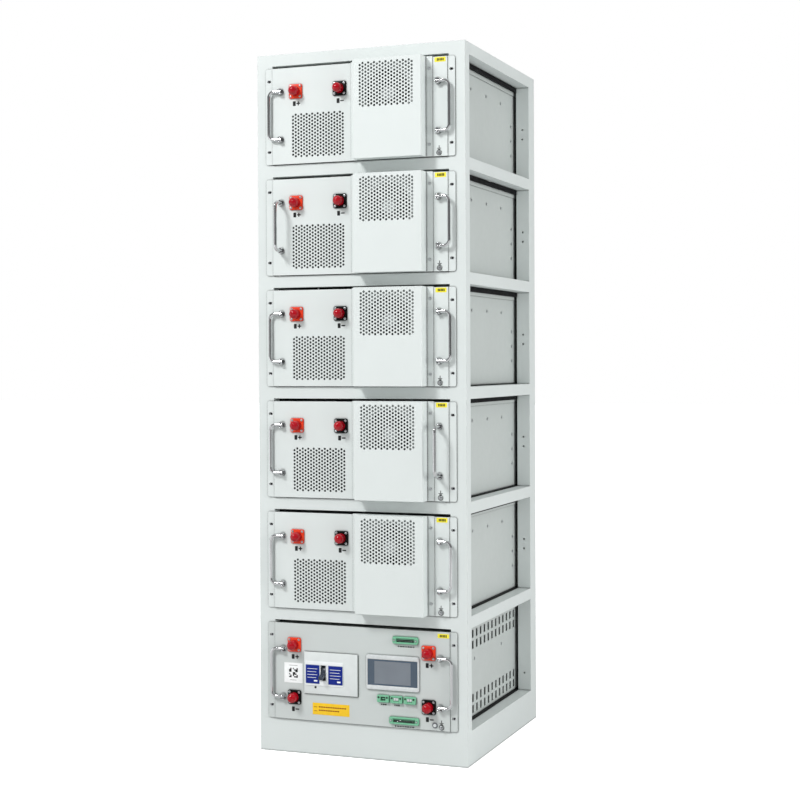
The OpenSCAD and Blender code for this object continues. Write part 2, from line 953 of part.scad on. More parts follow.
module fan_rotor()
    color(rotor_black)
        translate([fan_x, 0, fan_z])
            difference() {
                union() {
                    rod_y(fan_hub_r, fan_y + 5, fan_y + 23);
                    for (i = [0 : blades - 1])
                        rotate([0, i * 360 / blades, 0])
                            intersection() {
                                difference() {
                                    rod_y(fan_blade_r, fan_y + 6, fan_y + 22);
                                    rod_y(fan_hub_r - 1, fan_y + 5, fan_y + 23);
                                }
                                translate([0, fan_y + 14, 0])
                                    rotate([38, 0, 0])
                                        translate([10, -1, -20])
                                            cube([60, 2, 40]);
                            }
                }
                rod_y(fan_shaft_r + 0.05, fan_y, fan_y + 24);
            }

// ---------- control unit ----------

module control_breaker()
    color(breaker_white)
        union() {
            difference() {
                union() {
                    block(breaker_x0, breaker_x1, plate_front - breaker_proud, plate_front,
                          breaker_z0, breaker_z1);
                    block(breaker_x0 + 4.3, breaker_x1 - 4.3, plate_front, breaker_depth,
                          breaker_z0 + 4.3, breaker_z1 - 4.3);
                }
                translate([0, toggle_y, toggle_z])
                    rod_x(toggle_r + 1, toggle_x - toggle_slot_w / 2, toggle_x + toggle_slot_w / 2);
                block(toggle_x - toggle_slot_w / 2, toggle_x + toggle_slot_w / 2,
                      plate_front - breaker_proud - cut, toggle_y,
                      toggle_z - toggle_slot_h / 2, toggle_z + toggle_slot_h / 2);
            }
            translate([0, toggle_y, toggle_z])
                rod_x(toggle_pin_r, toggle_x - toggle_slot_w / 2 - cut, toggle_x + toggle_slot_w / 2 + cut);
        }

// Drum and lever, standing at the lower end of the travel
module control_breaker_toggle()
    color("darkslategray")
        translate([toggle_x, toggle_y, toggle_z])
            rotate([toggle_travel / 2, 0, 0])
                difference() {
                    union() {
                        rod_x(toggle_r, -toggle_w / 2, toggle_w / 2);
                        block(-toggle_w / 2 + 1, toggle_w / 2 - 1, -toggle_reach, -toggle_r + 2, -4, 4);
                    }
                    rod_x(toggle_pin_r + 0.05, -toggle_w, toggle_w);
                }

module control_touchscreen() {
    glass_x0 = screen_x0 + 4;
    glass_x1 = screen_x1 - 4;
    glass_z0 = screen_z0 + 11;
    glass_z1 = screen_z1 - 10;
    front = plate_front - screen_proud;
    color(screen_white)
        difference() {
            union() {
                block(screen_x0, screen_x1, front, plate_front, screen_z0, screen_z1);
                block(screen_x0 + 5.3, screen_x1 - 5.3, plate_front, screen_depth,
                      screen_z0 + 5.3, screen_z1 - 5.3);
            }
            block(glass_x0, glass_x1, front - cut, front + 1.5, glass_z0, glass_z1);
        }
    color("lightslategray")
        block(glass_x0 + gap, glass_x1 - gap, front + 0.3, front + 1.5 - gap,
              glass_z0 + gap, glass_z1 - gap);
}

// Pluggable terminal block: a row of wire mouths below a row of clamp screws
module terminal_block(x, z, pins, side)
    translate([x, 0, z])
        difference() {
            block(0, pins * term_pitch + side, plate_front - term_proud, term_depth, 0, term_h);
            for (k = [0 : pins - 1])
                translate([side / 2 + (k + 0.5) * term_pitch, plate_front - term_proud, 0]) {
                    translate([0, 0, term_h * 0.32])
                        cube([3.2, 8, 3.6], center = true);
                    translate([0, 0, term_h * 0.72])
                        rod_y(1.7, -cut, 3);
                }
        }

module control_terminal_blocks()
    color(terminal_green) {
        for (k = [0, 1])
            terminal_block(wide_term_x[k], wide_term_z[k], wide_term_pins[k], 0);
        for (x = small_term_x)
            terminal_block(x, small_term_z, small_term_pins, 3);
    }

module control_start_button()
    color(panel_grey)
        translate([button_x, 0, button_z]) {
            rod_y(button_r, plate_front - 2.2, plate_front + 1);
            rod_y(1.5, plate_front + 1, 8);
        }

// Body of the start button: bezel, threaded barrel and rear nut
module button_body()
    color("dimgray")
        translate([button_x, 0, button_z]) {
            difference() {
                union() {
                    rod_y(6, plate_front - 1.6, plate_front);
                    rod_y(5, plate_front, 16);
                }
                rod_y(button_r + 0.1, plate_front - 3, plate_front + 1 + button_travel + 0.3);
                rod_y(1.7, plate_front, 12);
            }
        }

contactor_h = 90;
contactor_pole = 14;
control_floor = case_z + sheet + gap;
contactor_top = control_floor + contactor_h + gap;

// One sealed contactor with its two terminals
module contactor(x, y)
    translate([x, y, control_floor]) {
        block(-33, 33, -38, 38, 0, 4);
        cylinder(r = 29, h = 78);
        for (s = [-1, 1])
            translate([0, s * contactor_pole, 0])
                cylinder(r = 6, h = contactor_h);
    }

// Copper lead on side s, from the upper socket back to the contactor pole at x = s * 110 and y
module control_lead(s, y)
    mirror_x(s) {
        block(power_cx - 11, power_cx + 7, 20, y, power_cz[1] + 2 + gap, power_cz[1] + 5);
        block(power_cx - 11, power_cx + 7, y - 3, y, contactor_top, power_cz[1] + 5);
        block(104, power_cx + 7, y - 6, y + 6, contactor_top, contactor_top + 3);
    }

module control_internals() {
    color("ivory") {
        contactor(110, 150);
        contactor(110, 250);
        contactor(-110, 250);
    }
    color("gainsboro") {
        block(-160, -60, 330, 480, control_floor, 50);
        translate([110, 360, 60])
            rod_y(19, -45, 45);
        for (s = [-1, 1])
            block(90, 130, 360 + s * 50 - 6, 360 + s * 50 + 6, control_floor, 70);
    }
    color("darkgreen") {
        block(-40, 70, 140, 320, 40, 41.6);
        for (k = [0 : 3])
            block(-30 + 25 * k, -14 + 25 * k, 160, 176, 41.6, 46);
        for (x = [-34, 64], y = [146, 314])
            translate([x, y, control_floor])
                cylinder(r = 4, h = 40 - control_floor);
    }
    color("peru") {
        block(100, 120, 158, 242, contactor_top, contactor_top + 3);
        control_lead(1, 150 - contactor_pole);
        control_lead(-1, 250 - contactor_pole);
    }
    button_body();
    color(zinc)
        both_sides()
            for (y = control_side_screw_y)
                difference() {
                    block(case_x - sheet - 12, case_x - sheet - gap, y - 10, y + 10, 125, 154);
                    translate([0, y, control_side_screw_z])
                        rod_x(side_screw_r + gap, case_x - 14, case_x);
                }
}

// ---------- nodes ----------

rack_frame();
slide_rails();
frame_fasteners();

in_bay(5) battery_case();  // module_1_case
in_bay(5) battery_front_panel();  // module_1_front_panel
in_bay(5) fan_cover();  // module_1_fan_cover
in_bay(5) battery_connectors();  // module_1_connectors
in_bay(5) battery_fasteners();  // module_1_fasteners
in_bay(5) battery_internals();  // module_1_internals
in_bay(5) fan_rotor();  // module_1_fan_rotor
in_bay(5) handle(-1, handle_z, left_rest[5]);  // module_1_handle_left
in_bay(5) handle(1, handle_z, right_rest[5]);  // module_1_handle_right

in_bay(4) battery_case();  // module_2_case
in_bay(4) battery_front_panel();  // module_2_front_panel
in_bay(4) fan_cover();  // module_2_fan_cover
in_bay(4) battery_connectors();  // module_2_connectors
in_bay(4) battery_fasteners();  // module_2_fasteners
in_bay(4) battery_internals();  // module_2_internals
in_bay(4) fan_rotor();  // module_2_fan_rotor
in_bay(4) handle(-1, handle_z, left_rest[4]);  // module_2_handle_left
in_bay(4) handle(1, handle_z, right_rest[4]);  // module_2_handle_right

in_bay(3) battery_case();  // module_3_case
in_bay(3) battery_front_panel();  // module_3_front_panel
in_bay(3) fan_cover();  // module_3_fan_cover
in_bay(3) battery_connectors();  // module_3_connectors
in_bay(3) battery_fasteners();  // module_3_fasteners
in_bay(3) battery_internals();  // module_3_internals
in_bay(3) fan_rotor();  // module_3_fan_rotor
in_bay(3) handle(-1, handle_z, left_rest[3]);  // module_3_handle_left
in_bay(3) handle(1, handle_z, right_rest[3]);  // module_3_handle_right

in_bay(2) battery_case();  // module_4_case
in_bay(2) battery_front_panel();  // module_4_front_panel
in_bay(2) fan_cover();  // module_4_fan_cover
in_bay(2) battery_connectors();  // module_4_connectors
in_bay(2) battery_fasteners();  // module_4_fasteners
in_bay(2) battery_internals();  // module_4_internals
in_bay(2) fan_rotor();  // module_4_fan_rotor
in_bay(2) handle(-1, handle_z, left_rest[2]);  // module_4_handle_left
in_bay(2) handle(1, handle_z, right_rest[2]);  // module_4_handle_right

in_bay(1) battery_case();  // module_5_case
in_bay(1) battery_front_panel();  // module_5_front_panel
in_bay(1) fan_cover();  // module_5_fan_cover
in_bay(1) battery_connectors();  // module_5_connectors
in_bay(1) battery_fasteners();  // module_5_fasteners
in_bay(1) battery_internals();  // module_5_internals
in_bay(1) fan_rotor();  // module_5_fan_rotor
in_bay(1) handle(-1, handle_z, left_rest[1]);  // module_5_handle_left
in_bay(1) handle(1, handle_z, right_rest[1]);  // module_5_handle_right

in_bay(0) control_case();
in_bay(0) control_front_panel();
in_bay(0) control_connectors();
in_bay(0) control_fasteners();
in_bay(0) control_internals();
in_bay(0) control_breaker();
in_bay(0) control_breaker_toggle();
in_bay(0) control_touchscreen();
in_bay(0) control_terminal_blocks();
in_bay(0) control_start_button();
in_bay(0) handle(-1, control_handle_z, left_rest[0]);  // control_handle_left
in_bay(0) handle(1, control_handle_z, right_rest[0]);  // control_handle_right
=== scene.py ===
"""Looks for the rack battery pack: materials, detailed pieces, labels, light and camera.

Everything is in metres, in the frame of the CAD model: +Z up, the front faces -Y. Places on a
front plate and the sizes of small pieces are given in mm.
"""

import math

import bmesh
import bpy
from mathutils import Matrix, Vector

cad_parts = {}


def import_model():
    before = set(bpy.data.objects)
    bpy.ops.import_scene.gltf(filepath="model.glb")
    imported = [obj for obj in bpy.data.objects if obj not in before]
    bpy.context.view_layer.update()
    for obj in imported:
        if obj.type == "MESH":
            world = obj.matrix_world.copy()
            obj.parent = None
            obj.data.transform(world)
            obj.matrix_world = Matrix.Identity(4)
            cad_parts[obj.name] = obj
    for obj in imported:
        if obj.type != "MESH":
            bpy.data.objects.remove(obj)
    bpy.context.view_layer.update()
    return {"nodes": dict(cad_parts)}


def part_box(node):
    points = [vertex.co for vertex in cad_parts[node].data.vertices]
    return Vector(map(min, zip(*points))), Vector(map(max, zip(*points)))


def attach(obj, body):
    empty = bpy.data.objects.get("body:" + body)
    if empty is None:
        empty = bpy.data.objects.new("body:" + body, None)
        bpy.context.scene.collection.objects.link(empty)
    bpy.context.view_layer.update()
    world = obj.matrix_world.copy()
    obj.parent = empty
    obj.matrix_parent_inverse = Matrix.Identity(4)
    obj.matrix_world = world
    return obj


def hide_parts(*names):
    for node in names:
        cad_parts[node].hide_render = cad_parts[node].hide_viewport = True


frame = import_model()
NODES = frame["nodes"]
MM = 0.001

MODULES = [f"module_{i}" for i in range(1, 6)]
UNITS = MODULES + ["control"]
BODY = {unit: unit for unit in MODULES}
BODY["control"] = "control_unit"

# Faces of each unit, read from its front panel: the front of the centre plate, and the bay floor,
# which lies PANEL_BOTTOM below the plate's lower edge
PANEL_BOTTOM = 1.5 * MM
PLATE_Y = {unit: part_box(f"{unit}_front_panel")[0].y for unit in UNITS}
FLOOR_Z = {unit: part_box(f"{unit}_front_panel")[0].z - PANEL_BOTTOM for unit in UNITS}


# ---------- materials ----------

class Shader:
    """A node-based Principled material, with short helpers for its texture nodes."""

    def __init__(self, name, color, roughness, metallic=0.0, edge=0.0, **inputs):
        self.material = bpy.data.materials.new(name)
        self.material.use_nodes = True
        self.tree = self.material.node_tree
        self.bsdf = self.tree.nodes["Principled BSDF"]
        self.color = (*color, 1.0)
        self.bsdf.inputs["Base Color"].default_value = self.color
        self.bsdf.inputs["Roughness"].default_value = roughness
        self.bsdf.inputs["Metallic"].default_value = metallic
        for key, value in inputs.items():
            self.bsdf.inputs[key.replace("_", " ")].default_value = value
        self.base = self.bsdf.inputs["Base Color"]
        self.normal = self.rounded_edges(edge) if edge else None
        self.space = self.add("ShaderNodeTexCoord").outputs["Object"]

    def add(self, kind, **values):
        node = self.tree.nodes.new(kind)
        for key, value in values.items():
            node.inputs[key.replace("_", " ")].default_value = value
        return node

    def link(self, output, target):
        self.tree.links.new(output, target)

    def rounded_edges(self, radius):
        """A normal that turns smoothly over each sharp edge, as a small radius does."""
        bevel = self.add("ShaderNodeBevel", Radius=radius)
        bevel.samples = 4
        self.link(bevel.outputs["Normal"], self.bsdf.inputs["Normal"])
        return bevel.outputs["Normal"]

    def noise(self, scale, detail, stretch=(1, 1, 1)):
        mapping = self.add("ShaderNodeMapping", Scale=stretch)
        self.link(self.space, mapping.inputs["Vector"])
        noise = self.add("ShaderNodeTexNoise", Scale=scale, Detail=detail)
        self.link(mapping.outputs["Vector"], noise.inputs["Vector"])
        return noise.outputs["Fac"]

    def remap(self, value, low, high, start=0.3, end=0.7):
        node = self.add("ShaderNodeMapRange")
        for key, number in (("From Min", start), ("From Max", end), ("To Min", low), ("To Max", high)):
            node.inputs[key].default_value = number
        self.link(value, node.inputs["Value"])
        return node.outputs["Result"]

    def vary_color(self, scale, amount, detail=3.0):
        """Mottles the base colour by amount, up and down."""
        factor = self.remap(self.noise(scale, detail), 1 - amount, 1 + amount)
        node = self.add("ShaderNodeVectorMath")
        node.operation = "SCALE"
        self._feed_color(node.inputs[0])
        self.link(factor, node.inputs["Scale"])
        self._set_base(node.outputs["Vector"])

    def edge_tint(self, color, radius, strength):
        """Mixes color into the base where the surface turns sharply, as wear on edges does."""
        bevel = self.add("ShaderNodeBevel", Radius=radius)
        bevel.samples = 3
        geometry = self.add("ShaderNodeNewGeometry")
        dot = self.add("ShaderNodeVectorMath")
        dot.operation = "DOT_PRODUCT"
        self.link(bevel.outputs["Normal"], dot.inputs[0])
        self.link(geometry.outputs["Normal"], dot.inputs[1])
        mask = self.remap(dot.outputs["Value"], strength, 0.0, 0.85, 0.995)
        mix = self.add("ShaderNodeMix")
        mix.data_type = "RGBA"
        self.link(mask, mix.inputs[0])
        self._feed_color(mix.inputs[6])
        mix.inputs[7].default_value = (*color, 1.0)
        self._set_base(mix.outputs[2])

    def crease_shade(self, reach, depth):
        """Darkens the base in narrow inner corners, where little light gets in: painted shade."""
        near = self.add("ShaderNodeAmbientOcclusion", Distance=reach)
        near.samples = 6
        factor = self.remap(near.outputs["AO"], depth, 1.0, 0.5, 0.92)
        node = self.add("ShaderNodeVectorMath")
        node.operation = "SCALE"
        self._feed_color(node.inputs[0])
        self.link(factor, node.inputs["Scale"])
        self._set_base(node.outputs["Vector"])

    def _feed_color(self, target):
        if self.base.is_linked:
            source = self.base.links[0].from_socket
            self.link(source, target)
        elif target.type == "VECTOR":
            target.default_value = self.color[:3]
        else:
            target.default_value = self.color

    def _set_base(self, output):
        for link in list(self.base.links):
            self.tree.links.remove(link)
        self.link(output, self.base)

    def vary_roughness(self, scale, low, high, stretch=(1, 1, 1)):
        self.link(self.remap(self.noise(scale, 3.0, stretch), low, high), self.bsdf.inputs["Roughness"])

    def bump(self, scale, depth, detail=2.0, stretch=(1, 1, 1)):
        """Adds surface relief of the depth given, on top of any already there."""
        node = self.add("ShaderNodeBump", Distance=depth, Strength=1.0)
        self.link(self.noise(scale, detail, stretch), node.inputs["Height"])
        if self.normal is not None:
            self.link(self.normal, node.inputs["Normal"])
        self.normal = node.outputs["Normal"]
        self.link(self.normal, self.bsdf.inputs["Normal"])


def powder_coat(name, color, roughness, sheen=0.4):
    """Fine orange-peel paint on sheet steel: faint waviness, mottling, thinner paint on the edges, and
    painted shade darkening its inner corners.
    """
    shader = Shader(name, color, roughness, edge=0.9 * MM, Specular_IOR_Level=sheen)
    shader.vary_color(5, 0.018)
    shader.edge_tint(tuple(min(1.0, c * 1.10) for c in color), 1.0 * MM, 0.5)
    # painted shade: the paint is darkened in inner corners and creases
    shader.crease_shade(5 * MM, 0.25)
    shader.vary_roughness(60, roughness - 0.05, roughness + 0.06)
    shader.bump(7, 0.2 * MM, 1.0)
    shader.bump(900, 0.010 * MM, 1.0)
    return shader.material


def moulded_plastic(name, color, roughness, grain=0.003, sheen=0.5):
    shader = Shader(name, color, roughness, edge=0.5 * MM, Specular_IOR_Level=sheen)
    shader.vary_color(40, 0.03)
    shader.vary_roughness(120, max(0.03, roughness - 0.04), roughness + 0.05)
    shader.bump(1500, grain * MM, 1.0)
    return shader.material


def plated_metal(name, color, roughness, scratch_depth, stretch=(1, 1, 1)):
    shader = Shader(name, color, roughness, metallic=1.0, edge=0.3 * MM)
    shader.vary_color(60, 0.03)
    shader.vary_roughness(120, max(0.02, roughness - 0.03), roughness + 0.05, stretch)
    shader.bump(500, scratch_depth * MM, 1.0, stretch)
    return shader.material


def film_wrap(name, color):
    """Shrink film over an aluminium can, with faint wrinkles."""
    shader = Shader(name, color, 0.28, edge=1.0 * MM, Coat_Weight=0.4, Coat_Roughness=0.15)
    shader.vary_color(30, 0.08)
    shader.vary_roughness(25, 0.24, 0.36)
    shader.bump(45, 0.25 * MM, 3.0, (1, 1, 0.25))
    return shader.material


def printed(name, color):
    """Ink or vinyl film: slightly uneven, satin."""
    shader = Shader(name, color, 0.42, Specular_IOR_Level=0.25)
    shader.vary_color(90, 0.04)
    shader.vary_roughness(70, 0.38, 0.48)
    shader.bump(900, 0.003 * MM)
    return shader.material


def display_glass(name, color):
    shader = Shader(name, color, 0.10, Coat_Weight=0.6, Coat_Roughness=0.05)
    shader.vary_color(24, 0.05, 1.0)
    shader.vary_roughness(30, 0.08, 0.14)
    shader.bump(40, 0.002 * MM, 1.0)
    return shader.material


FRAME_PAINT = powder_coat("frame_paint", (0.64, 0.685, 0.675), 0.46)
# A darker copy of the panel grey, so that the cases' sides inside the rack carry painted shade.
CASE_PAINT_SHADED = powder_coat("case_paint", (0.50, 0.54, 0.525), 0.46)
PANEL_PAINT = powder_coat("panel_paint", (0.65, 0.695, 0.685), 0.44)
CONTROL_PAINT = powder_coat("control_paint", (0.54, 0.58, 0.57), 0.44)
COVER_PAINT = powder_coat("cover_paint", (0.66, 0.705, 0.695), 0.42)
# Near-black, so that the slide rails and their stops stand in for the dark gaps around the units: painted
# shade.
RAIL_SHADE_BLACK = powder_coat("rail_paint", (0.004, 0.004, 0.005), 0.6, 0.12)
CHROME = plated_metal("chrome", (0.62, 0.63, 0.64), 0.09, 0.0002, (1, 1, 3))
ZINC = plated_metal("zinc", (0.60, 0.62, 0.64), 0.30, 0.002)
COPPER = plated_metal("copper", (0.78, 0.42, 0.27), 0.26, 0.003, (6, 1, 1))
BRIGHT_TIN = plated_metal("bright_tin", (0.78, 0.79, 0.80), 0.22, 0.002)
CELL_FILM = film_wrap("cell_film", (0.03, 0.13, 0.40))
BOARD_GREEN = moulded_plastic("board_green", (0.01, 0.12, 0.05), 0.35)
INSULATOR = moulded_plastic("insulator_ivory", (0.66, 0.62, 0.50), 0.5)
FAN_BLACK = moulded_plastic("fan_black", (0.018, 0.019, 0.022), 0.45)
FAN_LABEL = printed("fan_label", (0.62, 0.64, 0.66))
CAP_RED = moulded_plastic("cap_red", (0.36, 0.0005, 0.008), 0.08, 0.0002, 0.4)
FLANGE_ORANGE = moulded_plastic("flange_orange", (0.76, 0.045, 0.012), 0.36, 0.002, 0.3)
FLANGE_BLACK = moulded_plastic("flange_black", (0.003, 0.003, 0.003), 0.42, 0.003, 0.12)
BREAKER_WHITE = moulded_plastic("breaker_white", (0.78, 0.81, 0.82), 0.30, 0.004)
BREAKER_COVER = moulded_plastic("breaker_cover", (0.66, 0.70, 0.695), 0.36)
BREAKER_GREY = moulded_plastic("breaker_grey", (0.10, 0.11, 0.13), 0.38)
TOGGLE_DARK = moulded_plastic("toggle_dark", (0.035, 0.045, 0.065), 0.30, 0.002, 0.4)
LABEL_BLUE = printed("label_blue", (0.002, 0.016, 0.21))
LABEL_YELLOW = printed("label_yellow", (0.86, 0.76, 0.045))
LABEL_AMBER = printed("label_amber", (0.83, 0.52, 0.020))
LABEL_GREY = printed("label_grey", (0.42, 0.46, 0.52))
LABEL_WHITE = printed("label_white", (0.86, 0.88, 0.88))
INK = printed("ink", (0.010, 0.011, 0.012))
INK_RUST = printed("ink_rust", (0.22, 0.035, 0.006))
BEZEL_WHITE = moulded_plastic("bezel_white", (0.60, 0.63, 0.635), 0.26, 0.003)
GLASS_DARK = display_glass("glass_dark", (0.040, 0.068, 0.105))
GLASS_PALE = display_glass("glass_pale", (0.150, 0.175, 0.205))
TERMINAL_GREEN = moulded_plastic("terminal_green", (0.17, 0.47, 0.29), 0.34, 0.002)
# Green-black sheets at the backs of slots and screw holes, in place of the shade inside them: painted shade.
SLOT_PAINTED_SHADE = moulded_plastic("slot_painted_shade", (0.010, 0.030, 0.020), 0.55)
BUTTON_GREY = moulded_plastic("button_grey", (0.66, 0.70, 0.70), 0.30, 0.003)


# ---------- materials of the CAD nodes ----------

SAME_POINT = 0.02 * MM  # corners nearer than this belong together
POLE_START = 209.2 * MM  # top of the cells' cans above the bay floor


def set_materials(obj, *materials):
    obj.data.materials.clear()
    for material in materials:
        obj.data.materials.append(material)


def islands(mesh):
    """Groups the polygons of a mesh into its solids, each with its lowest and highest corner."""
    parent = {}

    def root(key):
        while parent[key] != key:
            parent[key] = parent[parent[key]]
            key = parent[key]
        return key

    keys = [tuple(round(c / SAME_POINT) for c in v.co) for v in mesh.vertices]
    for key in keys:
        parent.setdefault(key, key)
    for polygon in mesh.polygons:
        first = root(keys[polygon.vertices[0]])
        for index in polygon.vertices[1:]:
            parent[root(keys[index])] = first
    groups = {}
    for polygon in mesh.polygons:
        groups.setdefault(root(keys[polygon.vertices[0]]), []).append(polygon)
    for polygons in groups.values():
        points = [mesh.vertices[i].co for p in polygons for i in p.vertices]
        low = Vector(min(p[k] for p in points) for k in range(3))
        high = Vector(max(p[k] for p in points) for k in range(3))
        yield polygons, low, high


def paint_solids(node, materials, rule):
    """Gives each solid of a CAD node the one of the materials that rule(size) picks."""
    obj = NODES[node]
    set_materials(obj, *materials)
    for polygons, low, high in islands(obj.data):
        index = materials.index(rule(high - low))
        for polygon in polygons:
            polygon.material_index = index


def soften(node, width):
    """Rounds the sharp edges of a CAD node for the render, without changing its mesh."""
    obj = NODES[node]
    weld = obj.modifiers.new("join_corners", "WELD")
    weld.merge_threshold = 0.01 * MM
    bevel = obj.modifiers.new("soft_edges", "BEVEL")
    bevel.width = width
    bevel.segments = 2
    bevel.limit_method = "ANGLE"
    bevel.angle_limit = math.radians(40)
    bevel.harden_normals = True


def battery_inner_paint(size):
    """A module's inner solids, told apart by size; those left over are the end plates and the fan."""
    cell = size.z > 200 * MM
    link_or_lead = size.z < 3 * MM or size.x < 20 * MM
    plate_or_base = size.x > 390 * MM
    base = plate_or_base and size.z < 6 * MM
    board = not plate_or_base and size.y < 20 * MM
    if cell:
        return CELL_FILM
    if link_or_lead:
        return COPPER
    if base:
        return INSULATOR
    return BOARD_GREEN if board else FAN_BLACK


def control_inner_paint(size):
    """The control unit's inner solids, told apart by size; those left over are contactors and fuse."""
    bar = size.z < 4 * MM and size.x < 30 * MM
    lead = 70 * MM < size.x < 80 * MM
    button_or_bracket = size.x < 14 * MM
    board = size.x > 105 * MM
    supply = 90 * MM < size.x < 105 * MM
    if bar or lead:
        return COPPER
    if button_or_bracket:
        return BREAKER_GREY
    if board:
        return BOARD_GREEN
    return ZINC if supply else INSULATOR


def fastener_paint(size):
    hinge_post = 13 * MM < size.x < 15 * MM and size.y > 15 * MM
    return CHROME if hinge_post else ZINC


def tin_the_poles(node):
    """The cells' poles are bare metal: every cell face above the top of its can."""
    mesh = NODES[node].data
    mesh.materials.append(BRIGHT_TIN)
    top = FLOOR_Z[node.rsplit("_", 1)[0]] + POLE_START
    for polygon in mesh.polygons:
        if polygon.material_index == 0 and polygon.center.z > top:
            polygon.material_index = len(mesh.materials) - 1


def paint_cad():
    # The slide rails get a near-black colour that is painted shade for the gaps around them.
    plain = {"rack_frame": FRAME_PAINT, "slide_rails": RAIL_SHADE_BLACK, "frame_fasteners": ZINC,
             "control_breaker": BREAKER_COVER, "control_breaker_toggle": TOGGLE_DARK,
             "control_start_button": BUTTON_GREY}
    for unit in UNITS:
        plain[f"{unit}_case"] = CASE_PAINT_SHADED
        plain[f"{unit}_front_panel"] = CONTROL_PAINT if unit == "control" else PANEL_PAINT
        plain[f"{unit}_handle_left"] = CHROME
        plain[f"{unit}_handle_right"] = CHROME
    for unit in MODULES:
        plain[f"{unit}_fan_cover"] = COVER_PAINT
        plain[f"{unit}_fan_rotor"] = FAN_BLACK
        inner = f"{unit}_internals"
        paint_solids(inner, (CELL_FILM, COPPER, INSULATOR, BOARD_GREEN, FAN_BLACK), battery_inner_paint)
        tin_the_poles(inner)
    for node, material in plain.items():
        set_materials(NODES[node], material)
    paint_solids("control_internals", (INSULATOR, COPPER, BOARD_GREEN, ZINC, BREAKER_GREY),
                 control_inner_paint)
    for unit in UNITS:
        paint_solids(f"{unit}_fasteners", (CHROME, ZINC), fastener_paint)
    soften("control_breaker_toggle", 1.2 * MM)


# ---------- building pieces ----------

PRINT_BACK = -0.05
PRINT_FRONT = 0.12
CORNER_STEPS = 5
CIRCLE_STEPS = 32


def finish_piece(name, bm, materials, unit, angle=35):
    """Turns the mesh being built into a piece that rides on its unit."""
    mesh = bpy.data.meshes.new(name)
    bmesh.ops.recalc_face_normals(bm, faces=bm.faces)
    bm.to_mesh(mesh)
    bm.free()
    for material in materials:
        mesh.materials.append(material)
    for polygon in mesh.polygons:
        polygon.use_smooth = True
    mesh.set_sharp_from_angle(angle=math.radians(angle))
    obj = bpy.data.objects.new(name, mesh)
    bpy.context.scene.collection.objects.link(obj)
    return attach(obj, BODY[unit])


def at(unit, x, z):
    """The point of a unit's front plate at x and height z, both in mm."""
    return Vector((x * MM, PLATE_Y[unit], FLOOR_Z[unit] + z * MM))


def rounded_outline(w, h, r):
    """Corner points, in mm, of a rounded rectangle centred on the origin."""
    points = []
    for corner in range(4):
        cx = (w / 2 - r) * (1 if corner in (0, 3) else -1)
        cz = (h / 2 - r) * (1 if corner < 2 else -1)
        for step in range(CORNER_STEPS + 1):
            a = math.radians(90 * (corner + step / CORNER_STEPS))
            points.append((cx + r * math.cos(a), cz + r * math.sin(a)))
    return points


def add_plate(bm, origin, outline, back, front, material=0, soft=0.0):
    """A solid plate facing -Y: outline in mm, its back and front in mm in front of origin."""
    rings = []
    layers = [(back, 0.0)]
    if soft > 0:
        steps = 3
        layers.append((front - soft, 0.0))
        layers += [(front - soft + soft * math.sin(math.radians(90 * k / steps)),
                    soft * (1 - math.cos(math.radians(90 * k / steps)))) for k in range(1, steps + 1)]
    else:
        layers.append((front, 0.0))
    cx = sum(p[0] for p in outline) / len(outline)
    cz = sum(p[1] for p in outline) / len(outline)
    half_w = max(abs(p[0] - cx) for p in outline)
    half_h = max(abs(p[1] - cz) for p in outline)
    for depth, inset in layers:
        sx, sz = 1 - inset / half_w, 1 - inset / half_h
        rings.append([bm.verts.new(origin + Vector(((cx + (x - cx) * sx) * MM, -depth * MM,
                                                    (cz + (z - cz) * sz) * MM)))
                      for x, z in outline])
    faces = [bm.faces.new(rings[0]), bm.faces.new(list(reversed(rings[-1])))]
    faces += bridge(bm, rings)
    for face in faces:
        face.material_index = material


def bridge(bm, rings):
    """Quads between neighbouring rings of the same number of points."""
    faces = []
    for low, high in zip(rings, rings[1:]):
        count = len(low)
        for i in range(count):
            j = (i + 1) % count
            faces.append(bm.faces.new((low[i], high[i], high[j], low[j])))
    return faces


def add_hollow_plate(bm, origin, outer, inner, back, front, material=0, soft=0.0):
    """A plate with a hole through it; outer and inner have the same number of points."""
    def ring(outline, depth, grow=0.0):
        sx = 1 + grow / max(abs(x) for x, z in outline)
        sz = 1 + grow / max(abs(z) for x, z in outline)
        return [bm.verts.new(origin + Vector((x * sx * MM, -depth * MM, z * sz * MM))) for x, z in outline]

    rings = [ring(inner, back), ring(outer, back), ring(outer, front - soft)]
    if soft > 0:
        rings += [ring(outer, front - 0.3 * soft, -0.3 * soft), ring(outer, front, -soft),
                  ring(inner, front, soft), ring(inner, front - 0.3 * soft, 0.3 * soft)]
    rings += [ring(inner, front - soft), rings[0]]
    for face in bridge(bm, rings):
        face.material_index = material


def add_lathe(bm, origin, profile, material=0, steps=40):
    """A turned solid with its axis along -Y: profile is (radius, depth in front of origin) in mm."""
    rings = []
    for radius, depth in profile:
        if radius == 0:
            rings.append([bm.verts.new(origin + Vector((0, -depth * MM, 0)))])
            continue
        ring = []
        for i in range(steps):
            a = 2 * math.pi * i / steps
            ring.append(bm.verts.new(origin + Vector((radius * math.cos(a) * MM, -depth * MM,
                                                      radius * math.sin(a) * MM))))
        rings.append(ring)
    for low, high in zip(rings, rings[1:]):
        for i in range(steps):
            j = (i + 1) % steps
            if len(low) == 1:
                face = bm.faces.new((low[0], high[i], high[j]))
            elif len(high) == 1:
                face = bm.faces.new((low[i], high[0], low[j]))
            else:
                face = bm.faces.new((low[i], high[i], high[j], low[j]))
            face.material_index = material


def add_print(bm, origin, outline):
    """A printed block: its back just inside the plate and its face just proud of it."""
    add_plate(bm, origin, outline, PRINT_BACK, PRINT_FRONT)


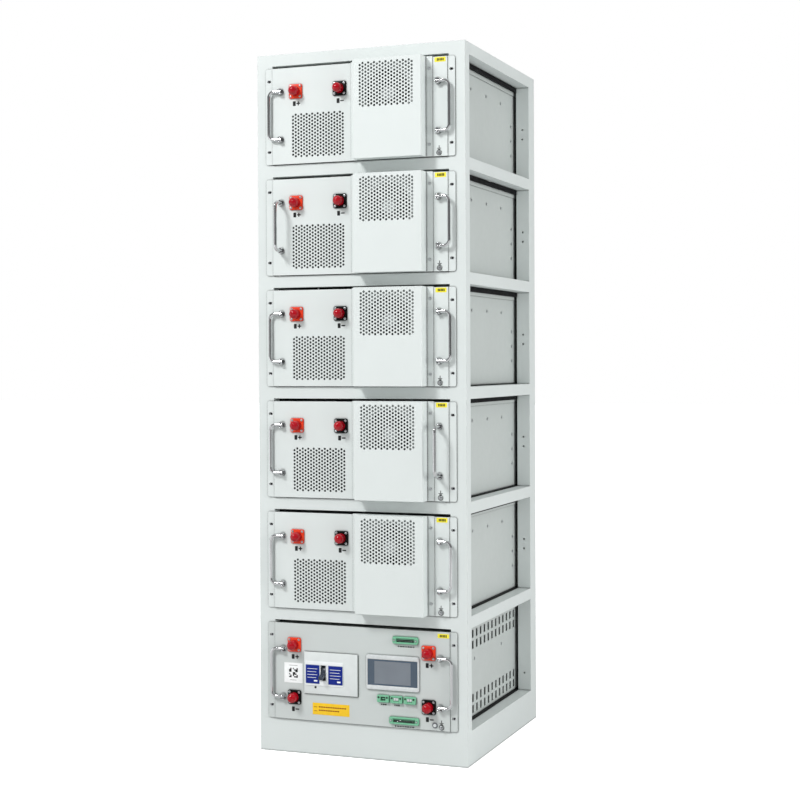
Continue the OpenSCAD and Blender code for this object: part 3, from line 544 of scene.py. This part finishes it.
def circle_outline(r):
    angles = [2 * math.pi * i / CIRCLE_STEPS for i in range(CIRCLE_STEPS)]
    return [(r * math.cos(a), r * math.sin(a)) for a in angles]


def rectangle(x0, x1, z0, z1):
    return [(x0, z0), (x1, z0), (x1, z1), (x0, z1)]


# ---------- power sockets and dust caps ----------

FLANGE = 34
BARREL_R = 10.0
CAP_R = 11.5
CAP_H = 28
MARK_BELOW = 29


def socket(unit, name, x, z, paint):
    """Square flange with a barrel in front, and behind the plate its body and a flat lug."""
    bm = bmesh.new()
    origin = at(unit, x, z)
    add_plate(bm, origin, rounded_outline(FLANGE, FLANGE, 4), 0, 3, 0, soft=0.7)
    barrel = [(0, 2.5), (BARREL_R, 2.5), (BARREL_R, 11), (8.8, 11), (8.8, 4), (4, 4), (4, 9), (0, 9)]
    body_behind = [(0, 0.2), (11.5, 0.2), (11.5, -18), (9, -18.5), (0, -18.5)]
    add_lathe(bm, origin, barrel)
    add_lathe(bm, origin, body_behind)
    add_plate(bm, origin, rectangle(-8, 8, -2, 2), -38, -18, 1)
    return finish_piece(f"{unit}_{name}", bm, (paint, BRIGHT_TIN), unit)


def dust_cap(unit, name, x, z):
    """Domed cap: a flat rim, a shallow groove above it, then a smooth dome."""
    bm = bmesh.new()
    shoulder = CAP_H - 0.95 * CAP_R
    dome = [(0.985 * CAP_R * math.cos(math.radians(a)),
             shoulder + (CAP_H - shoulder) * math.sin(math.radians(a))) for a in range(0, 90, 6)]
    profile = [(0, 12), (BARREL_R + 0.2, 12), (BARREL_R + 0.2, 3.3), (CAP_R - 0.3, 3.3), (CAP_R, 3.6),
               (CAP_R, 5.8), (CAP_R - 0.4, 6.4), (CAP_R - 0.5, 7.6), (CAP_R - 0.3, 8.4)] + dome + [(0, CAP_H)]
    add_lathe(bm, at(unit, x, z), profile, steps=56)
    return finish_piece(f"{unit}_{name}", bm, (CAP_RED,), unit, angle=50)


def polarity_mark(unit, name, x, z, plus):
    """A bold plus or minus beside a solid block, printed on the plate under its socket."""
    bm = bmesh.new()
    half, arm = 4.8, 1.4
    bar = rectangle(-half, half, -arm, arm)
    cross = [(-half, -arm), (-arm, -arm), (-arm, -half), (arm, -half), (arm, -arm), (half, -arm),
             (half, arm), (arm, arm), (arm, half), (-arm, half), (-arm, arm), (-half, arm)]
    add_print(bm, at(unit, x + 5.5, z), cross if plus else bar)
    add_print(bm, at(unit, x - 5.0, z), rounded_outline(7.5, 11.5, 1.5))
    return finish_piece(f"{unit}_{name}", bm, (INK,), unit)


def power_connections(unit, places):
    for name, x, z, plus in places:
        piece = socket(unit, f"socket_{name}", x, z, FLANGE_ORANGE if plus else FLANGE_BLACK)
        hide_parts(f"{unit}_connectors")
        dust_cap(unit, f"cap_{name}", x, z)
        polarity_mark(unit, f"mark_{name}", x + 1, z - MARK_BELOW, plus)


# ---------- labels and marks ----------

def label(unit, name, x0, x1, z0, z1, paint, marks, ink=INK):
    """A vinyl label with simple printed blocks, which hold no lettering."""
    bm = bmesh.new()
    cx, cz = (x0 + x1) / 2, (z0 + z1) / 2
    origin = at(unit, cx, cz)
    add_plate(bm, origin, rounded_outline(x1 - x0, z1 - z0, 0.8), -0.05, 0.15, 0, soft=0.05)
    for mx0, mx1, mz0, mz1 in marks:
        add_plate(bm, origin, rectangle(mx0 - cx, mx1 - cx, mz0 - cz, mz1 - cz), 0.1, 0.2, 1)
    return finish_piece(f"{unit}_{name}", bm, (paint, ink), unit)


def number_tag(unit, x0, x1, z0, z1):
    """Yellow tag with five bars where a number would be."""
    middle = (z0 + z1) / 2
    bars = [(x0 + 5.5 + 3.6 * k, x0 + 8.1 + 3.6 * k, middle - 3.0, middle + 3.0) for k in range(5)]
    return label(unit, "number_tag", x0, x1, z0, z1, LABEL_YELLOW, bars)


def earth_mark(unit, x, z):
    """The protective-earth sign above its stud, and a printed ring around the stud."""
    bm = bmesh.new()
    origin = at(unit, x, z)
    add_print(bm, origin, rectangle(-0.8, 0.8, 10.5, 16.5))
    for row, half in enumerate((5.2, 3.4, 1.6)):
        top = 10.5 - 2.3 * row
        add_print(bm, origin, rectangle(-half, half, top - 1.3, top))
    add_hollow_plate(bm, origin, circle_outline(6.6), circle_outline(5.4), PRINT_BACK, PRINT_FRONT)
    return finish_piece(f"{unit}_earth_mark", bm, (INK,), unit)


def fan_label(unit):
    """Round label on the fan's fixed hub, seen through the perforation."""
    low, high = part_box(f"{unit}_fan_rotor")
    centre = (low + high) / 2
    hub_front = PLATE_Y[unit] + 2.1 * MM
    disc = [(0, -0.1), (16, -0.1), (16, 0.2), (0, 0.2)]
    bm = bmesh.new()
    add_lathe(bm, Vector((centre.x, hub_front, centre.z)), disc)
    return finish_piece(f"{unit}_fan_label", bm, (FAN_LABEL,), unit)


# ---------- control unit ----------

PIN_PITCH = 3.81
SHORT_BLOCKS_X = (43.7, 77.0, 110.6)
SHORT_BLOCK_W = 29.4

# Breaker: how far its cover plate stands proud, the toggle's height, the slot around the toggle,
# the body behind the panel with its room for the toggle's drum, and the pivot pin
PROUD = 4.0
TOGGLE_Z = 118.0
SLOT_W = 13.8
SLOT_H = 36.4
# how far the dark sheet behind the cover plate is shifted right and down, as a painted shadow
SHADOW_SHIFT = 0.9
BODY_INSET = 4.3
BODY_DEPTH = 86.5
ROOM_HALF_H = 19.5
ROOM_DEPTH = 40
PIVOT_DEPTH = 15
PIVOT_R = 2


def touchscreen():
    """White bezel, dark glass with a paler picture area, and the body behind the panel."""
    low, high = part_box("control_touchscreen")
    w, h = (high.x - low.x) / MM, (high.z - low.z) / MM
    origin = Vector(((low.x + high.x) / 2, PLATE_Y["control"], (low.z + high.z) / 2))
    bm = bmesh.new()
    glass_w, glass_h = w - 7, h - 20.5
    add_hollow_plate(bm, origin, rounded_outline(w, h, 5), rounded_outline(glass_w, glass_h, 1.2),
                     0, 5, 0, soft=1.6)
    add_plate(bm, origin, rectangle(-glass_w / 2 - 1, glass_w / 2 + 1, -glass_h / 2 - 1, glass_h / 2 + 1),
              0.4, 3.4, 1)
    add_plate(bm, origin, rectangle(-45.5, 45.5, -glass_h / 2 + 4, glass_h / 2 - 4), 3.3, 3.45, 2)
    body_w, body_h = w - 11, h - 11
    add_plate(bm, origin, rectangle(-body_w / 2, body_w / 2, -body_h / 2, body_h / 2),
              -36, 0.2, 3, soft=0.1)
    piece = finish_piece("control_screen", bm, (BEZEL_WHITE, GLASS_DARK, GLASS_PALE, BREAKER_GREY),
                         "control")
    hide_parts("control_touchscreen")


def wide_terminal(name, x0, x1, z0):
    """Flanged socket for a pluggable terminal block, with a long slot and two end screws."""
    bm = bmesh.new()
    w, h = x1 - x0, 16.4
    origin = at("control", (x0 + x1) / 2, z0 + h / 2)
    slot_w = w - 18
    add_hollow_plate(bm, origin, rounded_outline(w, h, 3.4), rounded_outline(slot_w, 9.0, 0.8),
                     0, 6.5, 0, soft=1.3)
    # dark sheet at the back of the slot: painted shade
    add_plate(bm, origin, rectangle(-slot_w / 2 - 1, slot_w / 2 + 1, -5, 5), 0.3, 1.0, 1)
    add_plate(bm, origin, rectangle(-slot_w / 2 + 1, slot_w / 2 - 1, 2.4, 3.4), 0.8, 4.6, 0)
    pins = int(slot_w / PIN_PITCH)
    for k in range(pins):
        x = (k - (pins - 1) / 2) * PIN_PITCH
        add_plate(bm, origin, rectangle(x - 0.45, x + 0.45, -1.4, -0.5), 0.8, 3.4, 2)
    for side in (-1, 1):
        place = origin + Vector((side * (w / 2 - 4.6) * MM, 0, 0))
        # the dark disc under each screw head is painted shade in its hole
        add_lathe(bm, place, [(0, 6.2), (2.7, 6.2), (2.7, 6.7), (0, 6.7)], 1, 20)
        add_lathe(bm, place, [(0, 6.6), (1.9, 6.6), (1.9, 7.1), (1.5, 7.5), (0, 7.5)], 3, 20)
    add_plate(bm, origin, rectangle(-w / 2 + 1, w / 2 - 1, -h / 2 + 1, h / 2 - 1), -18, 0.2, 0)
    return finish_piece(name, bm, (TERMINAL_GREEN, SLOT_PAINTED_SHADE, BRIGHT_TIN, ZINC), "control")


def small_terminal(name, x0, x1, z0, plugged):
    """Short flanged socket with two screw holes above and a plug opening, which may hold a plug."""
    bm = bmesh.new()
    w, h = x1 - x0, 16.6
    origin = at("control", (x0 + x1) / 2, z0 + h / 2)
    add_hollow_plate(bm, origin, rounded_outline(w, h, 1.8), rounded_outline(12.5, 9.4, 0.7),
                     0, 7, 0, soft=0.9)
    # dark sheet at the back of the plug opening: painted shade
    add_plate(bm, origin, rectangle(-7.2, 7.2, -5.5, 5.5), 0.3, 1.2, 1)
    if plugged:
        for x in (-3.1, 3.1):
            add_plate(bm, origin, rectangle(x - 2.5, x + 2.5, -1.6, 4.0), 1.0, 7.6, 3, soft=0.5)
        add_plate(bm, origin, rectangle(-5.4, 5.4, -4.2, -2.4), 1.0, 6.4, 0, soft=0.4)
    else:
        add_plate(bm, origin, rectangle(-3.4, 3.4, -1.2, 1.6), 1.0, 3.0, 0, soft=0.3)
    for side in (-1, 1):
        place = origin + Vector((side * (w / 2 - 4.2) * MM, 0, 3.4 * MM))
        # dark disc in each screw hole: painted shade
        add_lathe(bm, place, [(0, 6.6), (2.6, 6.6), (2.6, 7.15), (0, 7.15)], 1, 20)
    add_plate(bm, origin, rectangle(-w / 2 + 1, w / 2 - 1, -h / 2 + 1, h / 2 - 1), -18, 0.2, 0)
    return finish_piece(name, bm, (TERMINAL_GREEN, SLOT_PAINTED_SHADE, BRIGHT_TIN, BEZEL_WHITE), "control")


def pin_ticks(name, x0, x1, z, count):
    """A row of printed blocks under a terminal block, one for each group of pins."""
    bm = bmesh.new()
    step = (x1 - x0) / count
    for k in range(count):
        x = x0 + (k + 0.5) * step
        half = (0.36 if k % 3 else 0.26) * step
        add_print(bm, at("control", x, z), rectangle(-half, half, -1.5, 1.5))
    return finish_piece(name, bm, (INK,), "control")


def terminals():
    """Two wide blocks, and three short ones in a row; the right one of the row is without marks."""
    wide_terminal("control_terminal_upper", 83, 146, 199.3)
    pin_ticks("control_ticks_upper", 93, 137, 192.5, 7)
    wide_terminal("control_terminal_lower", 74, 147, 10.6)
    pin_ticks("control_ticks_lower", 85, 135, 5.0, 8)
    for k, x in enumerate(SHORT_BLOCKS_X):
        piece = small_terminal(f"control_terminal_short_{k + 1}", x, x + SHORT_BLOCK_W, 59.4, k > 0)
        if k < 2:
            pin_ticks(f"control_ticks_short_{k + 1}", x + 7, x + 22, 53.5, 3)
    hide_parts("control_terminal_blocks")


def breaker():
    """Breaker with its cover plate, and behind it a dark sheet shifted right and down, a painted shadow along
    the plate's right and lower edges.
    """
    low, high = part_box("control_breaker")
    toggle_low, toggle_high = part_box("control_breaker_toggle")
    toggle_x = (toggle_low.x + toggle_high.x) / 2 / MM
    centre = (low + high) / 2
    origin = Vector((centre.x, PLATE_Y["control"], centre.z))
    half_w, half_h = (high.x - low.x) / 2 / MM, (high.z - low.z) / 2 / MM
    slot_x = toggle_x - centre.x / MM
    slot_z = TOGGLE_Z - (centre.z - FLOOR_Z["control"]) / MM

    def outline(inset):
        return rectangle(inset - half_w, half_w - inset, inset - half_h, half_h - inset)

    def slot(reach):
        return rectangle(slot_x - SLOT_W / 2, slot_x + SLOT_W / 2, slot_z - reach, slot_z + reach)

    # a dark sheet behind the plate, shifted right and down, shows as a painted shadow along its right and
    # lower edges
    shadow_sheet = rectangle(SHADOW_SHIFT - half_w, half_w + SHADOW_SHIFT, -half_h - SHADOW_SHIFT, half_h - SHADOW_SHIFT)
    bm = bmesh.new()
    add_hollow_plate(bm, origin, outline(0), slot(SLOT_H / 2), 2, PROUD, 0, soft=0.6)
    add_hollow_plate(bm, origin, shadow_sheet, slot(SLOT_H / 2), 0, 2, 1)
    add_hollow_plate(bm, origin, outline(BODY_INSET), slot(ROOM_HALF_H), -ROOM_DEPTH, 0, 2)
    add_plate(bm, origin, outline(BODY_INSET), -BODY_DEPTH, -ROOM_DEPTH, 2)
    axis = origin + Vector((slot_x * MM, PIVOT_DEPTH * MM, slot_z * MM))
    pin = Matrix.Translation(axis) @ Matrix.Rotation(math.pi / 2, 4, "Y")
    bmesh.ops.create_cone(bm, cap_ends=True, segments=24, radius1=PIVOT_R * MM, radius2=PIVOT_R * MM,
                          depth=(SLOT_W + 2) * MM, matrix=pin)
    piece = finish_piece("control_breaker_plate", bm, (BREAKER_COVER, SLOT_PAINTED_SHADE, BREAKER_GREY), "control")
    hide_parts("control_breaker")
    breaker_face(toggle_x)


def breaker_face(toggle_x):
    """The breaker's own front on the cover plate: raised face, two blue rating plates, toggle surround."""
    bm = bmesh.new()
    origin = at("control", toggle_x + 1.5, TOGGLE_Z - 2)
    opening = [(x - 1.5, z + 2) for x, z in rounded_outline(SLOT_W, SLOT_H, 1.0)]
    add_hollow_plate(bm, origin, rounded_outline(98, 58, 2.5), opening, PROUD - 0.1, PROUD + 1.4, 0, soft=0.6)
    finish_piece("control_breaker_body_face", bm, (BREAKER_WHITE,), "control")
    bm = bmesh.new()
    for x0, x1 in ((toggle_x - 45, toggle_x - 10), (toggle_x + 13.5, toggle_x + 50)):
        w = x1 - x0
        place = at("control", (x0 + x1) / 2, TOGGLE_Z - 4)
        add_plate(bm, place, rounded_outline(w + 2.4, 46.4, 1.8), PROUD + 1.3, PROUD + 1.5, 2)
        add_plate(bm, place, rounded_outline(w, 44, 1.2), PROUD + 1.45, PROUD + 1.7, 0, soft=0.1)
        for row in range(4):
            reach = w / 2 - 5 - 3 * (row % 2)
            z = 13 - 7 * row
            line = rectangle(-w / 2 + 4, reach, z - 0.5, z + 0.5)
            add_plate(bm, place, line, PROUD + 1.65, PROUD + 1.75, 1)
        block = rectangle(w / 2 - 14, w / 2 - 5, -17, -13.5)
        add_plate(bm, place, block, PROUD + 1.65, PROUD + 1.75, 1)
    finish_piece("control_breaker_rating_plates", bm, (LABEL_BLUE, LABEL_WHITE, LABEL_GREY), "control")
    bm = bmesh.new()
    add_hollow_plate(bm, at("control", toggle_x, TOGGLE_Z), rounded_outline(17.4, 40.4, 1.6),
                     rounded_outline(SLOT_W, SLOT_H, 0.9), PROUD + 1.2, PROUD + 2.4, 0, soft=0.5)
    finish_piece("control_breaker_toggle_surround", bm, (BEZEL_WHITE,), "control")
    bm = bmesh.new()
    button = [(0, PROUD - 0.2), (2.6, PROUD - 0.2), (2.6, PROUD + 0.8), (2.1, PROUD + 1.2), (0, PROUD + 1.2)]
    add_lathe(bm, at("control", toggle_x - 20.5, TOGGLE_Z - 35), button, steps=24)
    finish_piece("control_breaker_test_button", bm, (FLANGE_BLACK,), "control")


def white_label():
    """Serial label: a patch of scattered squares between two thin lines."""
    squares = []
    step = 3.3
    for i in range(7):
        for k in range(7):
            if (i * i + 3 * k + i * k) % 5 < 3:
                x, z = -186.5 + step * i, 101.5 + step * k
                squares.append((x, x + step, z, z + step))
    squares += [(-186, -164, 130.4, 131.2), (-184, -167, 95.2, 96.0)]
    label("control", "serial_label", -199, -151, 89, 137, LABEL_WHITE, squares)


def amber_label():
    """Plain amber label with two rows of dashes and no wording."""
    dashes = [(-121, -113, 25, 26.2), (-121, -113, 34.5, 35.7)]
    for z, count in ((34.2, 12), (26.2, 9)):
        dashes += [(-108.5 + 6 * k, -104 + 6 * k, z, z + 3.0) for k in range(count)]
    label("control", "amber_label", -124.7, -29.2, 17, 45, LABEL_AMBER, dashes, INK_RUST)


# ---------- all pieces ----------

# Sockets of each kind of unit: name, x and height of its centre, and whether it is a plus
MODULE_POWER = (("plus", -161.5, 174.5, True), ("minus", -47.3, 174.5, False))
CONTROL_POWER = (("b_plus", -171.5, 181, True), ("b_minus", -171.5, 55, False),
                 ("p_plus", 171.5, 181, True), ("p_minus", 171.5, 55, False))
EARTH_X = 202.4
EARTH_Z = 10

paint_cad()
for module in MODULES:
    power_connections(module, MODULE_POWER)
    number_tag(module, 192, 219, 219.5, 230.5)
    earth_mark(module, EARTH_X, EARTH_Z)
    fan_label(module)
power_connections("control", CONTROL_POWER)
number_tag("control", 193.4, 221.8, 217.7, 227.7)
earth_mark("control", EARTH_X, EARTH_Z)
touchscreen()
terminals()
breaker()
white_label()
amber_label()


# ---------- floor, light and camera ----------

CAMERA_PLACE = (1.4447, -3.7789, 0.9391)
CAMERA_ANGLES = (21.02, 0.364, -0.253)


def floor():
    """Studio floor that glows to the camera only, so that it is seen as white paper."""
    mesh = bpy.data.meshes.new("floor")
    reach = 30.0
    mesh.from_pydata([(-reach, -reach, 0), (reach, -reach, 0), (reach, reach, 0), (-reach, reach, 0)], [],
                     [(0, 1, 2, 3)])
    obj = bpy.data.objects.new("floor", mesh)
    bpy.context.scene.collection.objects.link(obj)
    shader = Shader("floor_paper", (0.62, 0.62, 0.62), 0.7)
    shader.vary_roughness(2, 0.65, 0.75)
    glow = shader.add("ShaderNodeMath")
    glow.operation = "MULTIPLY"
    glow.inputs[1].default_value = 0.90
    shader.link(shader.add("ShaderNodeLightPath").outputs["Is Camera Ray"], glow.inputs[0])
    shader.bsdf.inputs["Emission Color"].default_value = (1.0, 1.0, 1.0, 1.0)
    shader.link(glow.outputs["Value"], shader.bsdf.inputs["Emission Strength"])
    mesh.materials.append(shader.material)


def area_light(name, place, target, size, power, lit=True, mirrored=True):
    """A disc light; lit and mirrored say whether it lights surfaces and whether glossy ones reflect it."""
    light = bpy.data.lights.new(name, "AREA")
    light.shape = "DISK"
    light.size = size
    light.energy = power
    obj = bpy.data.objects.new(name, light)
    obj.location = place
    obj.rotation_euler = (Vector(target) - Vector(place)).to_track_quat("-Z", "Y").to_euler()
    obj.visible_diffuse = lit
    obj.visible_glossy = mirrored
    bpy.context.scene.collection.objects.link(obj)


def world(zenith, horizon, below, mirrored):
    """White to the camera; as a light, a softbox sky that is brightest overhead and dim at the horizon.

    Reflections see it dimmed by the factor mirrored, like the darker room behind the camera.
    """
    surroundings = bpy.data.worlds.new("studio")
    surroundings.use_nodes = True
    tree = surroundings.node_tree
    background = tree.nodes["Background"]
    place = tree.nodes.new("ShaderNodeTexCoord").outputs["Generated"]
    split = tree.nodes.new("ShaderNodeSeparateXYZ")
    tree.links.new(place, split.inputs["Vector"])
    height = tree.nodes.new("ShaderNodeMapRange")
    height.inputs["From Min"].default_value = -1.0
    tree.links.new(split.outputs["Z"], height.inputs["Value"])
    ramp = tree.nodes.new("ShaderNodeValToRGB")
    stops = ramp.color_ramp.elements
    for stop, (position, level) in zip((stops[0], stops[1], stops.new(0.5)),
                                       ((0.0, below), (1.0, zenith), (0.5, horizon))):
        stop.position = position
        stop.color = (level, level, level, 1.0)
    tree.links.new(height.outputs["Result"], ramp.inputs["Fac"])
    rays = tree.nodes.new("ShaderNodeLightPath")
    dim = tree.nodes.new("ShaderNodeMapRange")
    dim.inputs["To Min"].default_value = 1.0
    dim.inputs["To Max"].default_value = mirrored
    tree.links.new(rays.outputs["Is Glossy Ray"], dim.inputs["Value"])
    tree.links.new(dim.outputs["Result"], background.inputs["Strength"])
    mix = tree.nodes.new("ShaderNodeMix")
    mix.data_type = "RGBA"
    tree.links.new(rays.outputs["Is Camera Ray"], mix.inputs[0])
    tree.links.new(ramp.outputs["Color"], mix.inputs[6])
    mix.inputs[7].default_value = (1.0, 1.0, 1.0, 1.0)
    tree.links.new(mix.outputs[2], background.inputs["Color"])
    bpy.context.scene.world = surroundings


def camera():
    """To the right of the rack and just above its middle, turned 21 degrees to the left."""
    data = bpy.data.cameras.new("camera")
    data.lens = 71.97
    data.sensor_width = 36
    data.shift_y = -0.035
    data.clip_end = 100
    obj = bpy.data.objects.new("camera", data)
    yaw, pitch, roll = (math.radians(a) for a in CAMERA_ANGLES)
    turn = Matrix.Rotation(yaw, 4, "Z") @ Matrix.Rotation(math.pi / 2 - pitch, 4, "X")
    turn = turn @ Matrix.Rotation(roll, 4, "Z")
    obj.matrix_world = Matrix.Translation(CAMERA_PLACE) @ turn
    bpy.context.scene.collection.objects.link(obj)
    bpy.context.scene.camera = obj


floor()
world(zenith=0.68, horizon=0.31, below=0.08, mirrored=0.5)
area_light("key", (-1.9, -3.4, 4.3), (0, 0, 1.2), size=1.2, power=176)
area_light("fill", (4.0, -1.0, 0.9), (0, 0, 0.85), size=2.4, power=84, mirrored=False)
area_light("reflector", (-2.6, -1.6, 0.9), (0, -0.3, 0.9), size=2.0, power=14, lit=False)
camera()
bpy.context.scene.view_settings.view_transform = "Standard"
